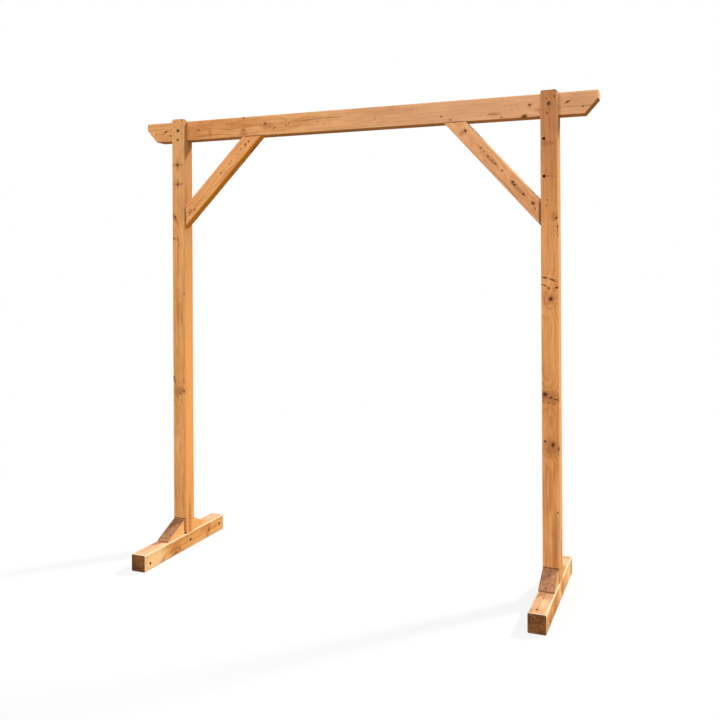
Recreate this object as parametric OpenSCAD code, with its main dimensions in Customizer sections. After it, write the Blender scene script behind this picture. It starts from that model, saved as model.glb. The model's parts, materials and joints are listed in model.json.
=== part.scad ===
// Freestanding wooden arch: two posts on rail feet, a crossbeam, two braces and four wedge blocks.
// +X runs along the crossbeam, -Y is the front and +Z is up. Z = 0 is the ground.
// The origin is midway between the posts, at half the length of the feet.

/* [Frame] */
// Distance between the centre lines of the two posts
post_spacing = 1890; // [1300:10:2600]
// Height of the crossbeam's underside, which is the clear height of the arch
beam_underside = 2100; // [1700:10:2500]

/* [Posts] */
// Width of a post, seen from the front
post_w = 75; // [60:1:120]
// Depth of a post, front to back
post_d = 75; // [66:1:120]
// Height of the cheek above the top of the crossbeam
cheek_rise = 10; // [0:1:40]
// Corner radius at the top of the cheek
cheek_round = 12; // [4:1:25]
// Radius of the eased long edges of every planed timber
arris_r = 5; // [1:0.5:8]

/* [Crossbeam] */
// Thickness of the cheek that each post keeps in front of the crossbeam
cheek_t = 25; // [15:1:40]
// Height of the crossbeam
beam_h = 100; // [70:1:160]
// Thickness of the crossbeam, front to back
beam_t = 75; // [40:1:120]
// Length of the crossbeam beyond the outer face of each post
beam_overhang = 167.5; // [90:2.5:320]
// Height of the plumb face left at each end of the crossbeam
nose_h = 35; // [10:1:60]
// Length of the sloping cut under each end of the crossbeam
nose_cut = 58; // [20:1:80]

/* [Braces] */
// Face width of the brace timber
brace_w = 75; // [45:1:100]
// Thickness of the brace timber, front to back
brace_t = 50; // [30:1:54]
// Drop of the left brace's upper edge down the post
left_brace_drop = 342; // [200:1:450]
// Reach of the left brace's upper edge along the crossbeam
left_brace_reach = 342; // [200:1:450]
// Drop of the right brace's upper edge down the post
right_brace_drop = 366; // [200:1:450]
// Reach of the right brace's upper edge along the crossbeam
right_brace_reach = 335; // [200:1:450]

/* [Feet] */
// Width of a foot rail
foot_w = 75; // [60:1:120]
// Height of a foot rail
foot_h = 80; // [60:1:120]
// Length of a foot in front of its post
foot_front = 350; // [200:5:600]
// Length of a foot behind its post
foot_rear = 285; // [200:5:600]

/* [Wedges] */
// Slope of the wedge blocks above the foot, in degrees
wedge_angle = 26; // [15:1:35]
// Thickness of a wedge block at its toe
wedge_toe = 3; // [1:0.5:8]
// Length of the wedge in front of the left post
left_front_wedge_l = 143; // [80:1:180]
// Length of the wedge in front of the right post
right_front_wedge_l = 112; // [80:1:180]
// Length of the wedge behind the left post
left_rear_wedge_l = 130; // [80:1:180]
// Length of the wedge behind the right post
right_rear_wedge_l = 130; // [80:1:180]
// How far the left post's wedges stop short of its right face
left_wedge_gap = 9; // [0:1:20]
// How far the right post's wedges stop short of its right face
right_wedge_gap = 5; // [0:1:20]

/* [Joinery] */
// Thickness of the stub tenon under each post, across the foot
tenon_t = 25; // [15:1:35]
// Width of the stub tenon, along the foot
tenon_w = 50; // [30:1:60]
// Depth of the stub tenon in the foot
tenon_l = 55; // [46:1:58]
// Clearance between the tenon and each wall of its mortise
tenon_fit = 0.3; // [0.1:0.1:0.8]
// Space left below the end of the tenon
mortise_relief = 3; // [1:0.5:6]

/* [Hardware] */
// Diameter of the bolts
bolt_d = 8; // [6:1:12]
// Radial clearance of a bolt in its bore
bolt_fit = 0.3; // [0.1:0.1:0.8]
// Diameter of a bolt head
head_d = 13; // [10:1:16]
// Height of a bolt head
head_h = 6; // [4:0.5:8]
// Width of the hexagon socket in a bolt head, across its flats
socket_w = 5; // [4:1:8]
// Depth of the hexagon socket
socket_h = 3; // [2:0.5:4]
// Width of a nut across its flats
nut_w = 13; // [10:1:16]
// Thickness of a nut
nut_h = 6; // [4:0.5:8]
// Diameter of the counterbores that take the heads and nuts
counterbore_d = 17; // [16:1:22]
// Depth of the counterbores
counterbore_h = 8; // [8:0.5:12]
// Diameter of the peg holes in the feet and in the right post
peg_d = 10; // [6:1:16]
// Depth of the peg holes
peg_l = 40; // [20:1:50]
// Distance of the peg holes from the ends of the foot
peg_inset = 45; // [30:1:80]
// Height of the front peg hole above the ground
front_peg_z = 30; // [20:1:50]
// Height of the rear peg hole above the ground
rear_peg_z = 44; // [20:1:50]
// Distance of the two peg holes in the right post from its inner edge
post_peg_inset = 15.5; // [10:0.5:50]
// Drop of the upper one below the crossbeam
post_peg_drop = 100; // [30:1:160]
// Distance between the two
post_peg_pitch = 163; // [30:1:250]

/* [Hidden] */
$fn = 48;
// Margin by which a cutting shape passes the face that it cuts
cut = 1;

post_x = post_spacing / 2;
beam_top = beam_underside + beam_h;
post_top = beam_top + cheek_rise;
foot_length = foot_front + post_d + foot_rear;
post_front = foot_front - foot_length / 2;
post_rear = post_front + post_d;
post_mid = post_front + post_d / 2;
beam_front = post_front + cheek_t;
// The beam bolts run through the cheek and the whole crossbeam behind it.
beam_joint = cheek_t + beam_t;
beam_half = post_x + post_w / 2 + beam_overhang;
inner_face = post_x - post_w / 2;
bolt_z = beam_underside + beam_h / 2;
foot_bolt_z = foot_h / 2;

timber = "#cf935a";
shaded_timber = "#b67b49";
cut_timber = "#a9744b";
zinc = "#8d9296";

// Left is -X. The left half is drawn as the mirror image of the right one.
module on_side(side) {
    mirror([side < 0 ? 1 : 0, 0, 0]) children();
}

// Section of a planed timber with its four long edges rounded, centred
module eased_section(w, h) {
    square([w - 2 * arris_r, h], center = true);
    square([w, h - 2 * arris_r], center = true);
    for (x = [-1, 1], y = [-1, 1])
        translate([x * (w / 2 - arris_r), y * (h / 2 - arris_r)])
            circle(arris_r);
}

// Planed timber of section w (across) by h (upright), running along +X from the origin
module bar_x(length, w, h) {
    rotate([90, 0, 90]) linear_extrude(length) eased_section(w, h);
}

// Planed timber running along +Y from the origin
module bar_y(length, w, h) {
    translate([0, length, 0]) rotate([90, 0, 0]) linear_extrude(length) eased_section(w, h);
}

// Bore with a counterbore at each end, along +Z from the first face to the second
module bolt_bore(length, d = bolt_d + 2 * bolt_fit) {
    translate([0, 0, -cut]) cylinder(h = length + 2 * cut, d = d);
    translate([0, 0, -cut]) cylinder(h = counterbore_h + cut, d = counterbore_d);
    translate([0, 0, length - counterbore_h]) cylinder(h = counterbore_h + cut, d = counterbore_d);
}

// Places its children on the axis of the beam bolt, with +Z running from front to back
module at_beam_bolt() {
    translate([post_x, post_front, bolt_z]) rotate([-90, 0, 0]) children();
}

// Places its children on the axis of the foot bolt, with +Z running from the inner face outwards
module at_foot_bolt() {
    translate([post_x - foot_w / 2, post_mid, foot_bolt_z]) rotate([0, 90, 0]) children();
}

// Outline of the crossbeam from the front, with a plumb nose and a sloping cut at each end
module beam_outline() {
    polygon([
        [-beam_half, beam_h / 2], [-beam_half, beam_h / 2 - nose_h],
        [-beam_half + nose_cut, -beam_h / 2], [beam_half - nose_cut, -beam_h / 2],
        [beam_half, beam_h / 2 - nose_h], [beam_half, beam_h / 2]
    ]);
}

module crossbeam() {
    color(timber)
    difference() {
        translate([0, beam_front + beam_t / 2, bolt_z])
            intersection() {
                translate([-beam_half, 0, 0]) bar_x(2 * beam_half, beam_t, beam_h);
                rotate([90, 0, 0])
                    linear_extrude(beam_t + 2 * cut, center = true) beam_outline();
            }
        for (side = [-1, 1]) on_side(side) at_beam_bolt() bolt_bore(beam_joint);
    }
}

// Outline of a post from the front, with the rounded top of its cheek
module post_outline() {
    translate([-post_w / 2, foot_h]) square([post_w, post_top - foot_h - cheek_round]);
    translate([-post_w / 2 + cheek_round, foot_h])
        square([post_w - 2 * cheek_round, post_top - foot_h]);
    for (x = [-1, 1])
        translate([x * (post_w / 2 - cheek_round), post_top - cheek_round]) circle(cheek_round);
}

module post(side) {
    color(timber)
    on_side(side)
    difference() {
        union() {
            intersection() {
                translate([post_x, post_mid, foot_h])
                    linear_extrude(post_top - foot_h) eased_section(post_w, post_d);
                translate([post_x, post_mid, 0]) rotate([90, 0, 0])
                    linear_extrude(post_d + 2 * cut, center = true) post_outline();
            }
            translate([post_x - tenon_t / 2, post_mid - tenon_w / 2, foot_h - tenon_l])
                cube([tenon_t, tenon_w, tenon_l + cut]);
        }
        // Rebate that seats the crossbeam behind the cheek
        translate([inner_face - cut, beam_front, beam_underside])
            cube([post_w + 2 * cut, post_d, post_top - beam_underside + cut]);
        at_beam_bolt() bolt_bore(beam_joint);
        at_foot_bolt() bolt_bore(foot_w);
        if (side > 0) post_peg_holes();
    }
}

// Two blind holes in the front of a post, one above the other
module post_peg_holes() {
    for (drop = [post_peg_drop, post_peg_drop + post_peg_pitch])
        translate([inner_face + post_peg_inset, post_front - cut, beam_underside - drop])
            rotate([-90, 0, 0]) cylinder(h = peg_l + cut, d = peg_d);
}

// The bar of a brace is laid on the line of its upper edge and cut off plumb at the post and
// level at the crossbeam.
module brace(side, drop, reach) {
    color(shaded_timber)
    on_side(side)
    translate([inner_face, post_front + brace_t / 2, beam_underside])
    intersection() {
        translate([0, 0, -drop])
            rotate([0, 180 + atan2(drop, reach), 0])
                translate([-brace_w * 2, 0, brace_w / 2])
                    bar_x(norm([drop, reach]) + brace_w * 4, brace_t, brace_w);
        translate([-reach * 2, -brace_t, -drop * 2])
            cube([reach * 2, brace_t * 2, drop * 2]);
    }
}

module foot(side) {
    color(timber)
    on_side(side)
    difference() {
        translate([post_x, -foot_length / 2, foot_h / 2]) bar_y(foot_length, foot_w, foot_h);
        // Mortise for the tenon of the post
        translate([post_x - tenon_t / 2 - tenon_fit, post_mid - tenon_w / 2 - tenon_fit,
                   foot_h - tenon_l - mortise_relief])
            cube([tenon_t + 2 * tenon_fit, tenon_w + 2 * tenon_fit, tenon_l + mortise_relief + cut]);
        at_foot_bolt() bolt_bore(foot_w);
        peg_hole(-foot_length / 2 + peg_inset, front_peg_z);
        peg_hole(foot_length / 2 - peg_inset, rear_peg_z);
    }
}

// Blind hole in the inner face of a foot
module peg_hole(y, z) {
    translate([post_x - foot_w / 2 - cut, y, z])
        rotate([0, 90, 0]) cylinder(h = peg_l + cut, d = peg_d);
}

// Triangular block on the foot, with its upright face against the post. The toe is blunt.
// It is flush with the post on the left, and stops short of it by a gap on the right.
module wedge(side, length, behind) {
    gap = side < 0 ? left_wedge_gap : right_wedge_gap;
    color(cut_timber)
    on_side(side)
    translate([post_x - side * gap / 2, behind ? post_rear : post_front, foot_h])
        mirror([0, behind ? 1 : 0, 0])
            rotate([90, 0, 90])
                linear_extrude(foot_w - gap, center = true)
                    polygon([[0, 0], [0, wedge_toe + length * tan(wedge_angle)],
                             [-length, wedge_toe], [-length, 0]]);
}

// Bolt along +Z with its head at the bottom of a counterbore of a joint of the given length
module bolt(length) {
    color(zinc)
    difference() {
        union() {
            translate([0, 0, counterbore_h - head_h]) cylinder(h = head_h, d = head_d);
            translate([0, 0, counterbore_h - cut])
                cylinder(h = length - 2 * counterbore_h + nut_h + cut, d = bolt_d);
        }
        translate([0, 0, counterbore_h - head_h - cut])
            cylinder(h = socket_h + cut, d = socket_w / cos(30), $fn = 6);
    }
}

// Hexagon nut on the far end of that bolt
module nut(length) {
    color(zinc)
    translate([0, 0, length - counterbore_h])
        difference() {
            cylinder(h = nut_h, d = nut_w / cos(30), $fn = 6);
            translate([0, 0, -cut]) cylinder(h = nut_h + 2 * cut, d = bolt_d + 0.2);
        }
}

crossbeam();
post(-1);  // left_post
post(1);  // right_post
brace(-1, left_brace_drop, left_brace_reach);  // left_brace
brace(1, right_brace_drop, right_brace_reach);  // right_brace
foot(-1);  // left_foot
foot(1);  // right_foot
wedge(-1, left_front_wedge_l, false);  // left_front_wedge
wedge(1, right_front_wedge_l, false);  // right_front_wedge
wedge(-1, left_rear_wedge_l, true);  // left_rear_wedge
wedge(1, right_rear_wedge_l, true);  // right_rear_wedge
on_side(-1) at_beam_bolt() bolt(beam_joint);  // left_beam_bolt
on_side(1) at_beam_bolt() bolt(beam_joint);  // right_beam_bolt
on_side(-1) at_beam_bolt() nut(beam_joint);  // left_beam_nut
on_side(1) at_beam_bolt() nut(beam_joint);  // right_beam_nut
on_side(-1) at_foot_bolt() bolt(foot_w);  // left_foot_bolt
on_side(1) at_foot_bolt() bolt(foot_w);  // right_foot_bolt
on_side(-1) at_foot_bolt() nut(foot_w);  // left_foot_nut
on_side(1) at_foot_bolt() nut(foot_w);  // right_foot_nut
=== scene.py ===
# %% [markdown]
# # A freestanding timber arch
# Two planed softwood posts stand on rail feet and carry a crossbeam, with a brace in each corner
# and a sawn wedge block in front of and behind each post. The CAD model gives the sizes and places,
# and this script gives the surfaces: eased edges, grain, knots, stain, screws and zinc.

# %% Load the frame
import json
import math

import bmesh
import bpy
from mathutils import Euler, Matrix, Vector

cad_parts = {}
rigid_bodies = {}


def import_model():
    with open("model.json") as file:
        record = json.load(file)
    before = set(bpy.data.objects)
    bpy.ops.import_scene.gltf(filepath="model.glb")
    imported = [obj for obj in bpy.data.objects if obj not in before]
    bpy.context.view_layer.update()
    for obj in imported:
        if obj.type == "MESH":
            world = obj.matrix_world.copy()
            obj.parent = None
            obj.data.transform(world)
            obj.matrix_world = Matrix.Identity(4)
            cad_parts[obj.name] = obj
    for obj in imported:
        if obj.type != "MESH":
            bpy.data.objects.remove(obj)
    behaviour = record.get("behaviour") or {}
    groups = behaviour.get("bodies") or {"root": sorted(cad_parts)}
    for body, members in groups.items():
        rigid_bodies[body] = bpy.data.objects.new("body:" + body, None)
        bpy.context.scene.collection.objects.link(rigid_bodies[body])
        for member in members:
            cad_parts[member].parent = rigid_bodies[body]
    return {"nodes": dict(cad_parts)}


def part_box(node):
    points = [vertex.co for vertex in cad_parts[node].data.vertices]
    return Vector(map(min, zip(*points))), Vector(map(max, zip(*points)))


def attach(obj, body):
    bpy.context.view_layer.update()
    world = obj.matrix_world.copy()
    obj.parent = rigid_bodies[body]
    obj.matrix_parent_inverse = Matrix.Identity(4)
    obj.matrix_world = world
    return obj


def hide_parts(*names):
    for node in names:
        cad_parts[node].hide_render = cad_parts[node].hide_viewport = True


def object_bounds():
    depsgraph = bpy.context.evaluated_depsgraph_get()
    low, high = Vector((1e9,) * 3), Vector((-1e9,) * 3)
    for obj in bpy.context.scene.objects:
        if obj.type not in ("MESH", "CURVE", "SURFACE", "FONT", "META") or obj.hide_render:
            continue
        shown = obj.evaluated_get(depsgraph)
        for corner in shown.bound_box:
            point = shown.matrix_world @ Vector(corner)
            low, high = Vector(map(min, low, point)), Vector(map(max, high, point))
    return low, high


for leftover in list(bpy.data.objects):
    bpy.data.objects.remove(leftover)
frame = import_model()
CAD_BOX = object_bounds()
MM = 0.001
scene = bpy.context.scene
print("CAD box", [list(c) for c in CAD_BOX])

# %% [markdown]
# ## Camera
# A camera is placed by where it stands and which way it looks. The uprights of a building look
# parallel when the camera is not tipped, so it stays level at eye height, and the view is moved
# down with the lens shift instead, as an architect's camera does.

# %% Camera
EYE = Vector((1.5537, -3.6959, 1.4702))
TURN, ROLL = 0.3789, -0.0055
forward = Vector((-math.sin(TURN), math.cos(TURN), 0))
level = Vector((math.cos(TURN), math.sin(TURN), 0))
upright = Vector((0, 0, 1))
across = math.cos(ROLL) * level + math.sin(ROLL) * upright
upward = math.cos(ROLL) * upright - math.sin(ROLL) * level
camera = bpy.data.objects.new("camera", bpy.data.cameras.new("camera"))
scene.collection.objects.link(camera)
scene.camera = camera
camera.matrix_world = Matrix.Translation(EYE) @ Matrix((across, upward, -forward)).transposed().to_4x4()
camera.data.sensor_width = 36
camera.data.lens = 42.3
camera.data.shift_x = -0.0062
camera.data.shift_y = -0.1363
print("camera at", list(EYE))

# %% [markdown]
# ## Colours and nodes
# Colours are picked as they look on a screen, but a renderer adds light up, so it needs them
# linear: one function turns them. A material is a tree of nodes, and typing each one out is long.
# So one more function adds a node with its settings and links, and hands back its output.

# %% Helpers
def linear(code):
    """An sRGB colour such as D2955F as linear red, green, blue and alpha."""
    parts = [int(code[i:i + 2], 16) / 255 for i in (0, 2, 4)]
    return tuple(p / 12.92 if p <= 0.04045 else ((p + 0.055) / 1.055) ** 2.4 for p in parts) + (1,)


def add(tree, kind, inputs=(), **settings):
    """Adds a node and gives back its first output. An input is a value or another output, and is
    found by its name or by its place among the sockets in use."""
    node = tree.nodes.new("ShaderNode" + kind)
    for name, value in settings.items():
        setattr(node, name, value)
    live = [socket for socket in node.inputs if socket.enabled]
    pairs = inputs.items() if isinstance(inputs, dict) else enumerate(inputs)
    for key, value in pairs:
        socket = live[key] if isinstance(key, int) else next(s for s in live if s.name == key)
        if isinstance(value, bpy.types.NodeSocket):
            tree.links.new(value, socket)
        else:
            socket.default_value = value
    outputs = [socket for socket in node.outputs if socket.enabled]
    return outputs[0] if outputs else node


def new_tree(owner):
    """The emptied node tree of a material or world."""
    owner.use_nodes = True
    owner.node_tree.nodes.clear()
    return owner.node_tree


def looked_at(tree):
    """1 where the camera looks, straight, by a reflection or through something, and 0 for the rest
    of the light."""
    rays = add(tree, "LightPath").node.outputs
    seen = add(tree, "Math", (rays["Is Camera Ray"], rays["Is Glossy Ray"]), operation="MAXIMUM")
    return add(tree, "Math", (seen, rays["Is Transmission Ray"]), operation="MAXIMUM")


# %% [markdown]
# ## Floor
# The arch stands on a plain pale floor that runs out to white. The floor that the camera sees is
# mostly glow, with a little paint near the arch, so that a faint shadow shows on it. The floor that
# lights the arch from below is a dry earth colour, because a white one would light the undersides
# of the timbers as brightly as their tops. Light Path tells the two apart.

# %% Floor
FLOOR_RADIUS = 30
bm = bmesh.new()
bmesh.ops.create_circle(bm, cap_ends=True, segments=96, radius=FLOOR_RADIUS)
floor = bpy.data.objects.new("floor", bpy.data.meshes.new("floor"))
bm.to_mesh(floor.data)
bm.free()
scene.collection.objects.link(floor)

paint = bpy.data.materials.new("floor_white_paint")
tree = new_tree(paint)
seen = looked_at(tree)
place = add(tree, "TexCoord").node.outputs["Object"]
reach = add(tree, "VectorMath", (place,), operation="LENGTH")
far = add(tree, "MapRange", {"Value": reach, "From Min": 0.8, "From Max": 3.2, "To Min": 0.84},
          interpolation_type="SMOOTHSTEP")
bounce = add(tree, "BsdfDiffuse", {"Color": linear("8A7810")})
matt = add(tree, "BsdfDiffuse", {"Color": linear("D8DADC")})
glow = add(tree, "Emission", {"Color": linear("FFFFFF"), "Strength": 1.0})
shown = add(tree, "MixShader", (far, matt, glow))
both = add(tree, "MixShader", (seen, bounce, shown))
add(tree, "OutputMaterial", {"Surface": both})
floor.data.materials.append(paint)
print("floor radius", FLOOR_RADIUS, "m")

# %% [markdown]
# ## Light
# A warm lamp stands half high on the right and behind, and gives the tops, the right faces and
# the arrises their glow, as afternoon sun does. A broad lamp from the front fills the faces that
# look at the viewer, and a pale sky fills the rest. All three stay weak enough that a colour looks
# about as it is written.

# %% World and lamps
scene.view_settings.view_transform = "Standard"
scene.world = bpy.data.worlds.new("studio")
tree = new_tree(scene.world)
seen = looked_at(tree)
sky = add(tree, "Background", {"Color": (0.92, 0.97, 1.0, 1), "Strength": 0.70})
white = add(tree, "Background", {"Color": linear("FFFFFF"), "Strength": 1.0})
both = add(tree, "MixShader", (seen, sky, white))
add(tree, "OutputWorld", {"Surface": both})


def sun(name, towards, strength, spread, tint):
    """A far lamp. Towards points from the arch to the lamp, and spread is its width in degrees."""
    lamp = bpy.data.lights.new(name, "SUN")
    lamp.energy, lamp.angle, lamp.color = strength, math.radians(spread), tint
    holder = bpy.data.objects.new(name, lamp)
    holder.rotation_euler = Vector(towards).to_track_quat("Z", "Y").to_euler()
    scene.collection.objects.link(holder)
    print(name, "strength", strength)


sun("key_softbox", (0.50, 0.56, 0.66), 3.5, 7, (1.0, 0.96, 0.9))
sun("front_fill", (-0.15, -1.0, 0.25), 1.65, 60, (1.0, 0.97, 0.92))

# %% [markdown]
# ## Timber shapes
# Planed timber comes with its long edges rounded by the mill, and the CAD model has those. Where
# a length is cut, the saw leaves a sharp edge, and sandpaper takes it off by a millimetre or two.
# A Bevel modifier would round every edge again, so the bevel is made in the mesh, only on the
# sharp edges near the cuts. Each timber is a copy, because the CAD mesh itself stays untouched.

# %% Timber copies
# In millimetres: how far in from the ends the sawn edges lie, and how far they are taken off
BEAM_CUTS, CHEEK_TOP, FOOT_ENDS = 60, 14, 0.1
EASE, FINE_EASE = 2.5, 1.2
# The angles above which an edge is sawn, is an edge at all, and is shaded as a sharp one
SAWN, REAL, CREASE = math.radians(38), math.radians(0.3), math.radians(40)
# Points closer than this, in millimetres, are one
SAME = 0.01


def eased(name, rule, width):
    """A merged copy of a CAD timber. The sharp edges that the rule picks are bevelled."""
    mesh = bpy.data.meshes.new(name + "_timber")
    bm = bmesh.new()
    bm.from_mesh(frame["nodes"][name].data)
    bmesh.ops.remove_doubles(bm, verts=bm.verts, dist=SAME * MM)
    bmesh.ops.dissolve_limit(bm, angle_limit=REAL, verts=bm.verts, edges=bm.edges)
    sharp = [e for e in bm.edges if len(e.link_faces) == 2
             and e.calc_face_angle() > SAWN and all(rule(v.co) for v in e.verts)]
    bmesh.ops.bevel(bm, geom=sharp, offset=width, offset_type="OFFSET", segments=3,
                    profile=0.5, affect="EDGES", clamp_overlap=False, material=-1)
    for face in bm.faces:
        face.smooth = True
    bm.to_mesh(mesh)
    bm.free()
    mesh.set_sharp_from_angle(angle=CREASE)
    piece = bpy.data.objects.new(name + "_timber", mesh)
    scene.collection.objects.link(piece)
    piece.modifiers.new("even_shading", "WEIGHTED_NORMAL").keep_sharp = True
    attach(piece, "root")
    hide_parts(name)
    print(name, len(mesh.polygons), "faces")
    return piece


FEET = ("left_foot", "right_foot")
POSTS = ("left_post", "right_post")
BRACES = ("left_brace", "right_brace")
WEDGES = ("left_front_wedge", "right_front_wedge", "left_rear_wedge", "right_rear_wedge")
highest = CAD_BOX[1]
pieces = {"crossbeam": eased("crossbeam", lambda p: abs(p.x) > highest.x - BEAM_CUTS * MM, EASE * MM)}
for name in POSTS:
    pieces[name] = eased(name, lambda p: p.z > highest.z - CHEEK_TOP * MM, EASE * MM)
for name in FEET:
    pieces[name] = eased(name, lambda p: abs(p.y) > highest.y - FOOT_ENDS * MM, EASE * MM)
for name in BRACES + WEDGES:
    pieces[name] = eased(name, lambda p: True, FINE_EASE * MM)

# %% [markdown]
# ## Grain frames
# Wood is not a pattern on a skin but a solid: rings round a pith, fibres along the trunk, and
# branches that run out through both. So the pattern is worked out in each timber's own frame, in
# millimetres, with X along the grain, Y across the main face and Z out of it. A Mapping node of
# type Texture does the turn.

# %% Grain frames
# How far the faces are from the middle of their timber, and a length that no timber has, for
# where an arris is not to be rubbed
BEAM_FACE, BEAM_TOP, POST_FACE = 37.5, 50, 37.5
FOOT_SIDE, FOOT_TOP, FOOT_END = 37.5, 40, 355
BRACE_WIDTH = 75
BRACE_FACE, BRACE_BELOW = 25, -BRACE_WIDTH / 2
FAR = 4000
FACE_ON = math.radians(90)
LEAN = {"left_brace": math.radians(-45), "right_brace": math.radians(47.5)}


def middle(name):
    """The middle of a node's box."""
    low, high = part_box(name)
    return (Vector(low) + Vector(high)) / 2


grain_frames = {"crossbeam": (middle("crossbeam"), Euler((FACE_ON, 0, 0)), (FAR, BEAM_TOP, BEAM_FACE))}
for name in POSTS:
    ground = middle(name)
    ground.z = 0
    grain_frames[name] = (ground, Euler((FACE_ON, -FACE_ON, 0)), (FAR, POST_FACE, POST_FACE))
for name in FEET + WEDGES:
    half = (FOOT_END, FOOT_TOP, FOOT_SIDE) if name in FEET else (FAR, FAR, FAR)
    grain_frames[name] = (middle(name), Euler((FACE_ON, 0, FACE_ON)), half)
for name, lean in LEAN.items():
    turn = Euler((FACE_ON, lean, 0))
    rise = turn.to_matrix().col[1] * -BRACE_BELOW * MM
    grain_frames[name] = (middle(name) + rise, turn, (FAR, -BRACE_BELOW, BRACE_FACE))
for name, (centre, turn, half) in grain_frames.items():
    print(name, "grain runs", [round(c, 2) for c in turn.to_matrix().col[0]])

# %% [markdown]
# ## Knots, rings and stains
# A knot is the root of a branch. Cut across, it is a dark round spot with a reddish halo, and the
# grain parts round it like water round a pier. Cut along, it is a dark slash. An image could hold
# such marks, but wood has them all the way in, so each is an ellipsoid in the timber's frame:
# where it is along the grain, across and out, half its length and half its width in millimetres,
# and how it leans in degrees. Knots are dark, rings are only an outline, and stains a soft tint,
# though some of the stain marks are painted shade.

# %% Knots
def on_face(face, marks):
    """Marks on the main face of a timber, which is this far out from its middle."""
    return [(along, across, face, length, width, lean) for along, across, length, width, lean in marks]


def count(title, lists):
    """Prints how many marks the timbers have."""
    print(sum(len(marks) for marks in lists.values()), title)


knots = {
    "crossbeam": on_face(BEAM_FACE, (
        (-1094, -7, 4, 4, 0), (-1072, -6, 4, 3, 0), (-1054, -9, 5, 4, 0), (-1035, 2, 15, 5, 28),
        (-1007, -20, 6, 4, 0), (-837, 0, 5, 4, 0), (-573, 45, 6, 5, 0), (-576, -14, 7, 5, 0),
        (-452, 9, 8, 7, 0), (-401, -16, 13, 3, 28), (-336, -8, 5, 4, 0), (-323, 1, 5, 3, 40),
        (454, -19, 5, 4, 0), (498, -37, 6, 4, 0), (834, -44, 15, 9, 20), (858, 4, 8, 7, 10),
        (732, -42, 6, 4, 0), (1021, 6, 14, 4, 30), (1086, -18, 5, 4, 0), (905, -22, 4, 4, 0),
        (905, -34, 4, 4, 0))),
    "left_post": on_face(POST_FACE, (
        (2193, 20, 4, 4, 0), (2201, -22, 4, 4, 0), (2170, 20, 4, 3, 0), (2173, -26, 4, 3, 0),
        (2103, 2, 6, 8, 35), (1974, 4, 9, 8, 0), (1874, 2, 8, 7, 0), (1707, 20, 15, 5, 39),
        (1596, 24, 10, 4, 50), (1591, 4, 12, 3, 0), (1563, -2, 5, 4, 0), (881, 34, 8, 7, 0),
        (863, 26, 20, 3, 25), (866, -28, 18, 3, 0), (811, -27, 6, 5, 0), (795, -5, 5, 4, 0),
        # The dark spot at 83 mm, low beside the wedge, is painted shade in the gap there.
        (83, -34, 8, 5, 0), (780, 10, 4, 4, 0), (762, 32, 4, 4, 0), (1312, -33, 5, 4, 0))),
    "right_post": on_face(POST_FACE, (
        (2207, -21, 5, 4, 0), (2180, -24, 5, 4, 0), (2173, 10, 4, 3, 0), (2110, 8, 8, 3, 20),
        (1734, 10, 4, 3, 0), (1709, 13, 4, 3, 0), (1654, -29, 6, 5, 0), (1617, -35, 10, 4, 15),
        (1598, -37, 9, 4, 0), (1580, -37, 8, 4, 0), (1398, 22, 4, 15, -6), (1388, -12, 4, 21, -22),
        (1351, 4, 6, 5, 0), (1355, -30, 6, 8, 0), (1364, 22, 2, 18, -22), (1306, -4, 11, 10, 0),
        (892, 22, 12, 15, 0), (879, -2, 6, 7, 0), (857, 5, 5, 4, 0), (872, -25, 4, 14, -12),
        (689, 23, 8, 6, 0), (676, -10, 13, 9, 0), (660, -36, 9, 5, 0), (384, -29, 5, 4, 0))),
    "left_brace": on_face(BRACE_FACE, (
        (246, -6, 6, 5, 0), (222, -4, 9, 5, 20), (191, 0, 7, 3, 0), (28, 0, 7, 4, 0),
        (157, -2, 5, 2, 0), (113, -1, 6, 2, 0), (-229, -3, 7, 4, 0), (-210, -17, 6, 4, 0),
        (-243, -6, 6, 4, 0))) + [
        (254, BRACE_BELOW, -7, 6, 5, 0), (238, BRACE_BELOW, -8, 9, 8, 0),
        (212, BRACE_BELOW, -12, 9, 8, 0),
        (150, BRACE_BELOW, -20, 12, 7, 0), (60, BRACE_BELOW, 4, 6, 5, 0)],
    "right_brace": on_face(BRACE_FACE, (
        (-221, 8, 9, 7, 0), (-113, 6, 6, 3, 0), (-93, 6, 5, 3, 0), (-63, 4, 6, 4, 0),
        (-37, 5, 5, 3, 0), (-15, 5, 7, 3, 10), (29, 5, 6, 4, 0), (98, 5, 9, 6, 20),
        (112, 2, 11, 6, 20), (171, 2, 7, 6, 0), (229, 5, 10, 8, 0), (252, -5, 8, 3, -20))),
    "left_foot": [(210, -2, FOOT_SIDE, 12, 5, 50), (-98, -26, FOOT_SIDE, 9, 5, 20),
                  (-62, -15, FOOT_SIDE, 8, 5, 40), (-6, 24, FOOT_SIDE, 5, 3, 0),
                  (8, 22, FOOT_SIDE, 4, 3, 0), (-355, 18, 9, 9, 6, 0)],
    "right_foot": [(-311, FOOT_TOP, -7, 10, 7, 0), (-186, FOOT_TOP, -2, 6, 5, 0),
                   (-355, 18, -14, 9, 7, 0), (60, 12, FOOT_SIDE, 9, 5, 80)],
    "right_front_wedge": [(-42, -20, -5, 15, 2.5, 26), (-20, -10, -2, 13, 3, 24),
                          (4, 2, 0, 14, 2.5, 27), (24, 12, -1, 12, 3, 26), (45, 22, 1, 14, 2.5, 25)],
    "left_front_wedge": [(-30, -15, 8, 6, 2, 26), (34, 17, -12, 12, 3, 26)],
}
count("knots", knots)

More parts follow.
